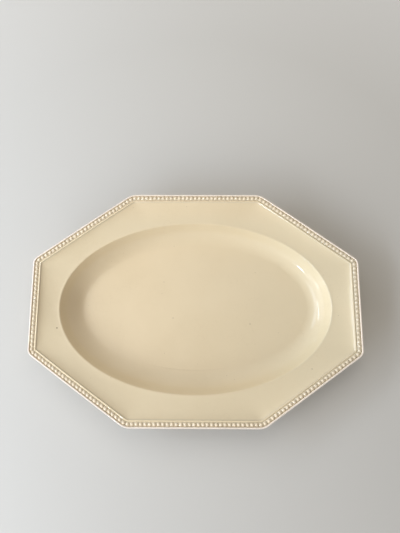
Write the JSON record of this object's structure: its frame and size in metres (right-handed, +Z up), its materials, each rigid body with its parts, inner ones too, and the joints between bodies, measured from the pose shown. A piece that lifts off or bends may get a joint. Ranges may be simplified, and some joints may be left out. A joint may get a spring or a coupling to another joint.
{
  "type": "octagonal serving plate",
  "caption": "Long octagonal serving plate in cream-glazed earthenware, with an oval well, a sloping wall, a beaded border and an oval foot ring.",
  "frame": {"origin": "middle of the plane that the foot ring stands on", "axes": "+X along the length, towards a short side; +Y across the width, towards the back long side; +Z up, out of the well"},
  "size_m": [0.35, 0.247, 0.0322],
  "materials": {
    "cream_glaze": "glossy cream lead glaze over earthenware",
    "bare_clay": "wiped glaze, bare biscuit where it stands"
  },
  "bodies": {
    "root": {"dish_body": "cream_glaze", "foot_ring": "bare_clay", "bead_strip_right": "cream_glaze", "bead_strip_back_right": "cream_glaze", "bead_strip_back": "cream_glaze", "bead_strip_back_left": "cream_glaze", "bead_strip_left": "cream_glaze", "bead_strip_front_left": "cream_glaze", "bead_strip_front": "cream_glaze", "bead_strip_front_right": "cream_glaze"}
  },
  "joints": []
}
